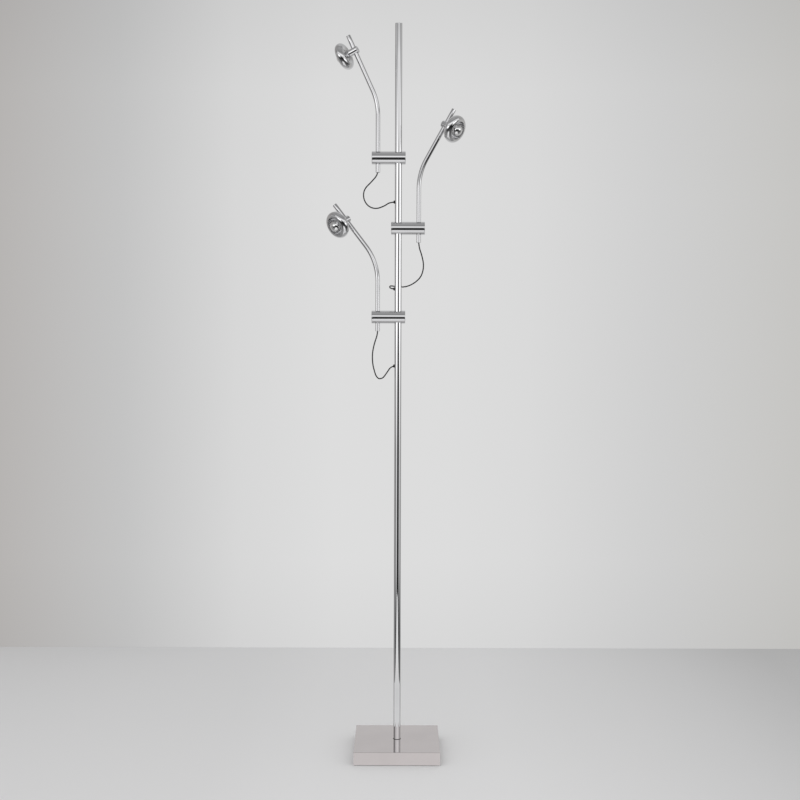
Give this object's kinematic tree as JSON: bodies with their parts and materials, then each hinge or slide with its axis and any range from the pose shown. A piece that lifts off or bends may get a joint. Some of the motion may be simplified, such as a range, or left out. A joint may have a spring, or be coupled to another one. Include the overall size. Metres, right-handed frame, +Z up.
{
  "type": "tree floor lamp",
  "caption": "Slim floor lamp: square weighted base, tall round pole, and sliding clamps that carry bent swivel arms with ring-shaped spot heads on short flexes.",
  "frame": {"origin": "on the floor, at the centre of the base's underside, on the pole's axis", "axes": "+Z up along the pole, -Y towards the viewer in the picture, +X to the viewer's right"},
  "size_m": [0.3868, 0.242, 2.05],
  "materials": {
    "base_chrome": "polished plate, large flat faces",
    "pole_chrome": "polished plate",
    "clamp_chrome": "polished plate",
    "arm_chrome": "polished plate",
    "head_chrome": "polished plate on spun sheet",
    "zinc_steel": "zinc plated",
    "dark_screws": "blackened steel",
    "cast_iron": "rough casting",
    "felt": "pressed felt",
    "black_rubber": "matt rubber",
    "black_plastic": "moulded",
    "white_plastic": "moulded",
    "nylon": "turned nylon",
    "black_cord": "smooth flexible sheath",
    "lamp_glass": "mirrored glass globe"
  },
  "bodies": {
    "stand": {"base_cover": "base_chrome", "base_ballast": "cast_iron", "bottom_plate": "zinc_steel", "base_felt": "felt", "base_screws": "zinc_steel", "pole_foot_ring": "black_rubber", "pole_tube": "pole_chrome", "pole_top_plug": "pole_chrome", "pole_spigot": "zinc_steel", "pole_nipple": "zinc_steel", "pole_nut": "zinc_steel", "transformer": "black_plastic", "terminal_block": "white_plastic", "inlet_grommet": "black_rubber", "pole_loom": "black_cord", "grommet_upper": "black_rubber", "grommet_middle": "black_rubber", "grommet_lower": "black_rubber", "flex_upper": "black_cord", "flex_middle": "black_cord", "flex_lower": "black_cord"},
    "bush_upper": {"clamp_bush_upper": "nylon"},
    "clamp_upper": {"clamp_shell_upper": "clamp_chrome", "clamp_caps_upper": "clamp_chrome", "clamp_core_upper": "nylon", "clamp_screws_upper": "dark_screws"},
    "arm_upper": {"arm_upper": "arm_chrome", "cord_bush_upper": "black_plastic", "arm_lead_upper": "black_cord"},
    "head_upper": {"head_block_upper": "head_chrome", "head_screw_upper": "dark_screws", "reflector_upper": "head_chrome", "lampholder_upper": "white_plastic", "bulb_upper": "lamp_glass"},
    "bush_middle": {"clamp_bush_middle": "nylon"},
    "clamp_middle": {"clamp_shell_middle": "clamp_chrome", "clamp_caps_middle": "clamp_chrome", "clamp_core_middle": "nylon", "clamp_screws_middle": "dark_screws"},
    "arm_middle": {"arm_middle": "arm_chrome", "cord_bush_middle": "black_plastic", "arm_lead_middle": "black_cord"},
    "head_middle": {"head_block_middle": "head_chrome", "head_screw_middle": "dark_screws", "reflector_middle": "head_chrome", "lampholder_middle": "white_plastic", "bulb_middle": "lamp_glass"},
    "bush_lower": {"clamp_bush_lower": "nylon"},
    "clamp_lower": {"clamp_shell_lower": "clamp_chrome", "clamp_caps_lower": "clamp_chrome", "clamp_core_lower": "nylon", "clamp_screws_lower": "dark_screws"},
    "arm_lower": {"arm_lower": "arm_chrome", "cord_bush_lower": "black_plastic", "arm_lead_lower": "black_cord"},
    "head_lower": {"head_block_lower": "head_chrome", "head_screw_lower": "dark_screws", "reflector_lower": "head_chrome", "lampholder_lower": "white_plastic", "bulb_lower": "lamp_glass"}
  },
  "joints": [
    {"name": "upper_height", "type": "slide", "parent": "stand", "child": "bush_upper", "axis": [0, 0, 1], "range_m": [-0.05, 0.05], "deforming": ["flex_upper"]},
    {"name": "upper_swing", "type": "hinge", "parent": "bush_upper", "child": "clamp_upper", "pos_m": [0, 0, 1.682], "axis": [0, 0, 1], "range_deg": [-60, 60]},
    {"name": "upper_arm_turn", "type": "hinge", "parent": "clamp_upper", "child": "arm_upper", "pos_m": [-0.057, 0, 1.682], "axis": [0, 0, 1], "range_deg": [-90, 90]},
    {"name": "upper_head_turn", "type": "hinge", "parent": "arm_upper", "child": "head_upper", "pos_m": [-0.12109, 0, 1.97518], "axis": [-0.4147, 0, 0.91], "range_deg": [-90, 90]},
    {"name": "middle_height", "type": "slide", "parent": "stand", "child": "bush_middle", "axis": [0, 0, 1], "range_m": [-0.03, 0.03], "deforming": ["flex_middle"]},
    {"name": "middle_swing", "type": "hinge", "parent": "bush_middle", "child": "clamp_middle", "pos_m": [0, 0, 1.488], "axis": [0, 0, 1], "range_deg": [-60, 60]},
    {"name": "middle_arm_turn", "type": "hinge", "parent": "clamp_middle", "child": "arm_middle", "pos_m": [0.057, 0, 1.488], "axis": [0, 0, 1], "range_deg": [-90, 90]},
    {"name": "middle_head_turn", "type": "hinge", "parent": "arm_middle", "child": "head_middle", "pos_m": [0.13017, 0, 1.77291], "axis": [0.4848, 0, 0.8746], "range_deg": [-90, 90]},
    {"name": "lower_height", "type": "slide", "parent": "stand", "child": "bush_lower", "axis": [0, 0, 1], "range_m": [-0.05, 0.05], "deforming": ["flex_lower"]},
    {"name": "lower_swing", "type": "hinge", "parent": "bush_lower", "child": "clamp_lower", "pos_m": [0, 0, 1.241], "axis": [0, 0, 1], "range_deg": [-60, 60]},
    {"name": "lower_arm_turn", "type": "hinge", "parent": "clamp_lower", "child": "arm_lower", "pos_m": [-0.057, 0, 1.241], "axis": [0, 0, 1], "range_deg": [-90, 90]},
    {"name": "lower_head_turn", "type": "hinge", "parent": "arm_lower", "child": "head_lower", "pos_m": [-0.14584, 0.01248, 1.51152], "axis": [-0.6042, 0.0849, 0.7923], "range_deg": [-90, 90]}
  ]
}
